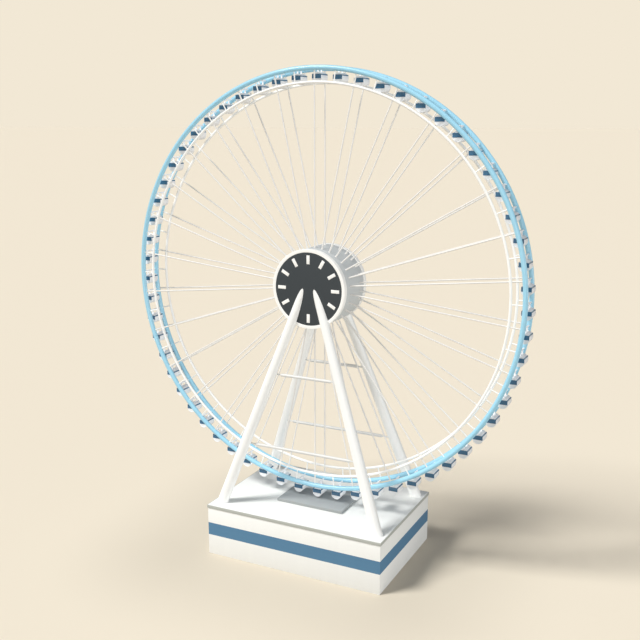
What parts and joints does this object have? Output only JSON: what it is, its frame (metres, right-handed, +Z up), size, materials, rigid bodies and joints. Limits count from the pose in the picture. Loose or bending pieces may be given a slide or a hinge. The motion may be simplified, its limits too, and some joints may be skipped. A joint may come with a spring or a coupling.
{
  "type": "ferris wheel, 1:10 scale model",
  "caption": "Scale model of a ferris wheel: plinth, leaning legs, clock faces at the hub, two blue rims, straight spokes and cabins that stay level as it turns.",
  "frame": {"origin": "middle of the plinth's underside, on the ground", "axes": "+Z up, +Y along the wheel's axle towards the back clock, +X to the right seen from the front"},
  "size_m": [10.246, 3.1968, 11.7896],
  "materials": {
    "plinth_white": "matt paint",
    "plinth_blue": "satin paint",
    "deck_white": "matt paint",
    "platform_grey": "matt paint",
    "leg_white": "satin paint",
    "clock_slate": "satin paint",
    "drum_grey": "satin paint",
    "rim_blue": "gloss paint",
    "rim_white": "gloss paint",
    "spoke_grey": "satin paint",
    "cabin_white": "gloss paint",
    "window_blue": "gloss"
  },
  "bodies": {
    "base": {"plinth": "plinth_white", "deck_plate": "deck_white", "boarding_platform": "platform_grey", "front_leg_frame": "leg_white", "back_leg_frame": "leg_white", "front_clock_case": "clock_slate", "back_clock_case": "clock_slate", "main_axle": "leg_white"},
    "wheel": {"hub_drum": "drum_grey", "front_wheel_side": "rim_blue", "back_wheel_side": "rim_blue"},
    "level_cabin_00": {"cabin_00": "cabin_white"},
    "level_cabin_02": {"cabin_02": "cabin_white"},
    "level_cabin_03": {"cabin_03": "cabin_white"},
    "level_cabin_04": {"cabin_04": "cabin_white"},
    "level_cabin_05": {"cabin_05": "cabin_white"},
    "level_cabin_07": {"cabin_07": "cabin_white"},
    "level_cabin_08": {"cabin_08": "cabin_white"},
    "level_cabin_09": {"cabin_09": "cabin_white"},
    "level_cabin_10": {"cabin_10": "cabin_white"},
    "level_cabin_12": {"cabin_12": "cabin_white"},
    "level_cabin_13": {"cabin_13": "cabin_white"},
    "level_cabin_14": {"cabin_14": "cabin_white"},
    "level_cabin_15": {"cabin_15": "cabin_white"},
    "level_cabin_17": {"cabin_17": "cabin_white"},
    "level_cabin_18": {"cabin_18": "cabin_white"},
    "level_cabin_19": {"cabin_19": "cabin_white"},
    "level_cabin_20": {"cabin_20": "cabin_white"},
    "level_cabin_22": {"cabin_22": "cabin_white"},
    "level_cabin_23": {"cabin_23": "cabin_white"},
    "level_cabin_24": {"cabin_24": "cabin_white"},
    "level_cabin_25": {"cabin_25": "cabin_white"},
    "level_cabin_27": {"cabin_27": "cabin_white"},
    "level_cabin_28": {"cabin_28": "cabin_white"},
    "level_cabin_29": {"cabin_29": "cabin_white"},
    "level_cabin_30": {"cabin_30": "cabin_white"},
    "level_cabin_32": {"cabin_32": "cabin_white"},
    "level_cabin_33": {"cabin_33": "cabin_white"},
    "level_cabin_34": {"cabin_34": "cabin_white"},
    "level_cabin_35": {"cabin_35": "cabin_white"},
    "level_cabin_37": {"cabin_37": "cabin_white"},
    "level_cabin_38": {"cabin_38": "cabin_white"},
    "level_cabin_39": {"cabin_39": "cabin_white"},
    "level_cabin_40": {"cabin_40": "cabin_white"},
    "level_cabin_42": {"cabin_42": "cabin_white"},
    "level_cabin_43": {"cabin_43": "cabin_white"},
    "level_cabin_44": {"cabin_44": "cabin_white"},
    "level_cabin_45": {"cabin_45": "cabin_white"},
    "level_cabin_47": {"cabin_47": "cabin_white"},
    "level_cabin_48": {"cabin_48": "cabin_white"},
    "level_cabin_49": {"cabin_49": "cabin_white"},
    "level_cabin_50": {"cabin_50": "cabin_white"},
    "level_cabin_52": {"cabin_52": "cabin_white"},
    "level_cabin_53": {"cabin_53": "cabin_white"},
    "level_cabin_54": {"cabin_54": "cabin_white"},
    "level_cabin_55": {"cabin_55": "cabin_white"},
    "level_cabin_57": {"cabin_57": "cabin_white"},
    "level_cabin_58": {"cabin_58": "cabin_white"},
    "level_cabin_59": {"cabin_59": "cabin_white"}
  },
  "joints": [
    {"name": "wheel_turn", "type": "hinge", "parent": "base", "child": "wheel", "pos_m": [0, 0, 6.739], "axis": [0, 1, 0], "continuous": true},
    {"name": "cabin_00_level", "type": "hinge", "parent": "wheel", "child": "level_cabin_00", "pos_m": [0, 0, 11.739], "axis": [0, 1, 0], "continuous": true},
    {"name": "cabin_02_level", "type": "hinge", "parent": "wheel", "child": "level_cabin_02", "pos_m": [1.03956, 0, 11.62974], "axis": [0, 1, 0], "continuous": true},
    {"name": "cabin_03_level", "type": "hinge", "parent": "wheel", "child": "level_cabin_03", "pos_m": [1.54509, 0, 11.49428], "axis": [0, 1, 0], "continuous": true},
    {"name": "cabin_04_level", "type": "hinge", "parent": "wheel", "child": "level_cabin_04", "pos_m": [2.03368, 0, 11.30673], "axis": [0, 1, 0], "continuous": true},
    {"name": "cabin_05_level", "type": "hinge", "parent": "wheel", "child": "level_cabin_05", "pos_m": [2.5, 0, 11.06913], "axis": [0, 1, 0], "continuous": true},
    {"name": "cabin_07_level", "type": "hinge", "parent": "wheel", "child": "level_cabin_07", "pos_m": [3.34565, 0, 10.45472], "axis": [0, 1, 0], "continuous": true},
    {"name": "cabin_08_level", "type": "hinge", "parent": "wheel", "child": "level_cabin_08", "pos_m": [3.71572, 0, 10.08465], "axis": [0, 1, 0], "continuous": true},
    {"name": "cabin_09_level", "type": "hinge", "parent": "wheel", "child": "level_cabin_09", "pos_m": [4.04509, 0, 9.67793], "axis": [0, 1, 0], "continuous": true},
    {"name": "cabin_10_level", "type": "hinge", "parent": "wheel", "child": "level_cabin_10", "pos_m": [4.33013, 0, 9.239], "axis": [0, 1, 0], "continuous": true},
    {"name": "cabin_12_level", "type": "hinge", "parent": "wheel", "child": "level_cabin_12", "pos_m": [4.75528, 0, 8.28408], "axis": [0, 1, 0], "continuous": true},
    {"name": "cabin_13_level", "type": "hinge", "parent": "wheel", "child": "level_cabin_13", "pos_m": [4.89074, 0, 7.77856], "axis": [0, 1, 0], "continuous": true},
    {"name": "cabin_14_level", "type": "hinge", "parent": "wheel", "child": "level_cabin_14", "pos_m": [4.97261, 0, 7.26164], "axis": [0, 1, 0], "continuous": true},
    {"name": "cabin_15_level", "type": "hinge", "parent": "wheel", "child": "level_cabin_15", "pos_m": [5, 0, 6.739], "axis": [0, 1, 0], "continuous": true},
    {"name": "cabin_17_level", "type": "hinge", "parent": "wheel", "child": "level_cabin_17", "pos_m": [4.89074, 0, 5.69944], "axis": [0, 1, 0], "continuous": true},
    {"name": "cabin_18_level", "type": "hinge", "parent": "wheel", "child": "level_cabin_18", "pos_m": [4.75528, 0, 5.19391], "axis": [0, 1, 0], "continuous": true},
    {"name": "cabin_19_level", "type": "hinge", "parent": "wheel", "child": "level_cabin_19", "pos_m": [4.56773, 0, 4.70532], "axis": [0, 1, 0], "continuous": true},
    {"name": "cabin_20_level", "type": "hinge", "parent": "wheel", "child": "level_cabin_20", "pos_m": [4.33013, 0, 4.239], "axis": [0, 1, 0], "continuous": true},
    {"name": "cabin_22_level", "type": "hinge", "parent": "wheel", "child": "level_cabin_22", "pos_m": [3.71572, 0, 3.39335], "axis": [0, 1, 0], "continuous": true},
    {"name": "cabin_23_level", "type": "hinge", "parent": "wheel", "child": "level_cabin_23", "pos_m": [3.34565, 0, 3.02328], "axis": [0, 1, 0], "continuous": true},
    {"name": "cabin_24_level", "type": "hinge", "parent": "wheel", "child": "level_cabin_24", "pos_m": [2.93893, 0, 2.69392], "axis": [0, 1, 0], "continuous": true},
    {"name": "cabin_25_level", "type": "hinge", "parent": "wheel", "child": "level_cabin_25", "pos_m": [2.5, 0, 2.40887], "axis": [0, 1, 0], "continuous": true},
    {"name": "cabin_27_level", "type": "hinge", "parent": "wheel", "child": "level_cabin_27", "pos_m": [1.54509, 0, 1.98372], "axis": [0, 1, 0], "continuous": true},
    {"name": "cabin_28_level", "type": "hinge", "parent": "wheel", "child": "level_cabin_28", "pos_m": [1.03956, 0, 1.84826], "axis": [0, 1, 0], "continuous": true},
    {"name": "cabin_29_level", "type": "hinge", "parent": "wheel", "child": "level_cabin_29", "pos_m": [0.52264, 0, 1.76639], "axis": [0, 1, 0], "continuous": true},
    {"name": "cabin_30_level", "type": "hinge", "parent": "wheel", "child": "level_cabin_30", "pos_m": [0, 0, 1.739], "axis": [0, 1, 0], "continuous": true},
    {"name": "cabin_32_level", "type": "hinge", "parent": "wheel", "child": "level_cabin_32", "pos_m": [-1.03956, 0, 1.84826], "axis": [0, 1, 0], "continuous": true},
    {"name": "cabin_33_level", "type": "hinge", "parent": "wheel", "child": "level_cabin_33", "pos_m": [-1.54509, 0, 1.98372], "axis": [0, 1, 0], "continuous": true},
    {"name": "cabin_34_level", "type": "hinge", "parent": "wheel", "child": "level_cabin_34", "pos_m": [-2.03368, 0, 2.17127], "axis": [0, 1, 0], "continuous": true},
    {"name": "cabin_35_level", "type": "hinge", "parent": "wheel", "child": "level_cabin_35", "pos_m": [-2.5, 0, 2.40887], "axis": [0, 1, 0], "continuous": true},
    {"name": "cabin_37_level", "type": "hinge", "parent": "wheel", "child": "level_cabin_37", "pos_m": [-3.34565, 0, 3.02328], "axis": [0, 1, 0], "continuous": true},
    {"name": "cabin_38_level", "type": "hinge", "parent": "wheel", "child": "level_cabin_38", "pos_m": [-3.71572, 0, 3.39335], "axis": [0, 1, 0], "continuous": true},
    {"name": "cabin_39_level", "type": "hinge", "parent": "wheel", "child": "level_cabin_39", "pos_m": [-4.04509, 0, 3.80007], "axis": [0, 1, 0], "continuous": true},
    {"name": "cabin_40_level", "type": "hinge", "parent": "wheel", "child": "level_cabin_40", "pos_m": [-4.33013, 0, 4.239], "axis": [0, 1, 0], "continuous": true},
    {"name": "cabin_42_level", "type": "hinge", "parent": "wheel", "child": "level_cabin_42", "pos_m": [-4.75528, 0, 5.19391], "axis": [0, 1, 0], "continuous": true},
    {"name": "cabin_43_level", "type": "hinge", "parent": "wheel", "child": "level_cabin_43", "pos_m": [-4.89074, 0, 5.69944], "axis": [0, 1, 0], "continuous": true},
    {"name": "cabin_44_level", "type": "hinge", "parent": "wheel", "child": "level_cabin_44", "pos_m": [-4.97261, 0, 6.21636], "axis": [0, 1, 0], "continuous": true},
    {"name": "cabin_45_level", "type": "hinge", "parent": "wheel", "child": "level_cabin_45", "pos_m": [-5, 0, 6.739], "axis": [0, 1, 0], "continuous": true},
    {"name": "cabin_47_level", "type": "hinge", "parent": "wheel", "child": "level_cabin_47", "pos_m": [-4.89074, 0, 7.77856], "axis": [0, 1, 0], "continuous": true},
    {"name": "cabin_48_level", "type": "hinge", "parent": "wheel", "child": "level_cabin_48", "pos_m": [-4.75528, 0, 8.28408], "axis": [0, 1, 0], "continuous": true},
    {"name": "cabin_49_level", "type": "hinge", "parent": "wheel", "child": "level_cabin_49", "pos_m": [-4.56773, 0, 8.77268], "axis": [0, 1, 0], "continuous": true},
    {"name": "cabin_50_level", "type": "hinge", "parent": "wheel", "child": "level_cabin_50", "pos_m": [-4.33013, 0, 9.239], "axis": [0, 1, 0], "continuous": true},
    {"name": "cabin_52_level", "type": "hinge", "parent": "wheel", "child": "level_cabin_52", "pos_m": [-3.71572, 0, 10.08465], "axis": [0, 1, 0], "continuous": true},
    {"name": "cabin_53_level", "type": "hinge", "parent": "wheel", "child": "level_cabin_53", "pos_m": [-3.34565, 0, 10.45472], "axis": [0, 1, 0], "continuous": true},
    {"name": "cabin_54_level", "type": "hinge", "parent": "wheel", "child": "level_cabin_54", "pos_m": [-2.93893, 0, 10.78408], "axis": [0, 1, 0], "continuous": true},
    {"name": "cabin_55_level", "type": "hinge", "parent": "wheel", "child": "level_cabin_55", "pos_m": [-2.5, 0, 11.06913], "axis": [0, 1, 0], "continuous": true},
    {"name": "cabin_57_level", "type": "hinge", "parent": "wheel", "child": "level_cabin_57", "pos_m": [-1.54509, 0, 11.49428], "axis": [0, 1, 0], "continuous": true},
    {"name": "cabin_58_level", "type": "hinge", "parent": "wheel", "child": "level_cabin_58", "pos_m": [-1.03956, 0, 11.62974], "axis": [0, 1, 0], "continuous": true},
    {"name": "cabin_59_level", "type": "hinge", "parent": "wheel", "child": "level_cabin_59", "pos_m": [-0.52264, 0, 11.71161], "axis": [0, 1, 0], "continuous": true}
  ],
  "couplings": [
    {"joint": "cabin_00_level", "follows": "wheel_turn", "ratio": -1},
    {"joint": "cabin_02_level", "follows": "wheel_turn", "ratio": -1},
    {"joint": "cabin_03_level", "follows": "wheel_turn", "ratio": -1},
    {"joint": "cabin_04_level", "follows": "wheel_turn", "ratio": -1},
    {"joint": "cabin_05_level", "follows": "wheel_turn", "ratio": -1},
    {"joint": "cabin_07_level", "follows": "wheel_turn", "ratio": -1},
    {"joint": "cabin_08_level", "follows": "wheel_turn", "ratio": -1},
    {"joint": "cabin_09_level", "follows": "wheel_turn", "ratio": -1},
    {"joint": "cabin_10_level", "follows": "wheel_turn", "ratio": -1},
    {"joint": "cabin_12_level", "follows": "wheel_turn", "ratio": -1},
    {"joint": "cabin_13_level", "follows": "wheel_turn", "ratio": -1},
    {"joint": "cabin_14_level", "follows": "wheel_turn", "ratio": -1},
    {"joint": "cabin_15_level", "follows": "wheel_turn", "ratio": -1},
    {"joint": "cabin_17_level", "follows": "wheel_turn", "ratio": -1},
    {"joint": "cabin_18_level", "follows": "wheel_turn", "ratio": -1},
    {"joint": "cabin_19_level", "follows": "wheel_turn", "ratio": -1},
    {"joint": "cabin_20_level", "follows": "wheel_turn", "ratio": -1},
    {"joint": "cabin_22_level", "follows": "wheel_turn", "ratio": -1},
    {"joint": "cabin_23_level", "follows": "wheel_turn", "ratio": -1},
    {"joint": "cabin_24_level", "follows": "wheel_turn", "ratio": -1},
    {"joint": "cabin_25_level", "follows": "wheel_turn", "ratio": -1},
    {"joint": "cabin_27_level", "follows": "wheel_turn", "ratio": -1},
    {"joint": "cabin_28_level", "follows": "wheel_turn", "ratio": -1},
    {"joint": "cabin_29_level", "follows": "wheel_turn", "ratio": -1},
    {"joint": "cabin_30_level", "follows": "wheel_turn", "ratio": -1},
    {"joint": "cabin_32_level", "follows": "wheel_turn", "ratio": -1},
    {"joint": "cabin_33_level", "follows": "wheel_turn", "ratio": -1},
    {"joint": "cabin_34_level", "follows": "wheel_turn", "ratio": -1},
    {"joint": "cabin_35_level", "follows": "wheel_turn", "ratio": -1},
    {"joint": "cabin_37_level", "follows": "wheel_turn", "ratio": -1},
    {"joint": "cabin_38_level", "follows": "wheel_turn", "ratio": -1},
    {"joint": "cabin_39_level", "follows": "wheel_turn", "ratio": -1},
    {"joint": "cabin_40_level", "follows": "wheel_turn", "ratio": -1},
    {"joint": "cabin_42_level", "follows": "wheel_turn", "ratio": -1},
    {"joint": "cabin_43_level", "follows": "wheel_turn", "ratio": -1},
    {"joint": "cabin_44_level", "follows": "wheel_turn", "ratio": -1},
    {"joint": "cabin_45_level", "follows": "wheel_turn", "ratio": -1},
    {"joint": "cabin_47_level", "follows": "wheel_turn", "ratio": -1},
    {"joint": "cabin_48_level", "follows": "wheel_turn", "ratio": -1},
    {"joint": "cabin_49_level", "follows": "wheel_turn", "ratio": -1},
    {"joint": "cabin_50_level", "follows": "wheel_turn", "ratio": -1},
    {"joint": "cabin_52_level", "follows": "wheel_turn", "ratio": -1},
    {"joint": "cabin_53_level", "follows": "wheel_turn", "ratio": -1},
    {"joint": "cabin_54_level", "follows": "wheel_turn", "ratio": -1},
    {"joint": "cabin_55_level", "follows": "wheel_turn", "ratio": -1},
    {"joint": "cabin_57_level", "follows": "wheel_turn", "ratio": -1},
    {"joint": "cabin_58_level", "follows": "wheel_turn", "ratio": -1},
    {"joint": "cabin_59_level", "follows": "wheel_turn", "ratio": -1}
  ]
}
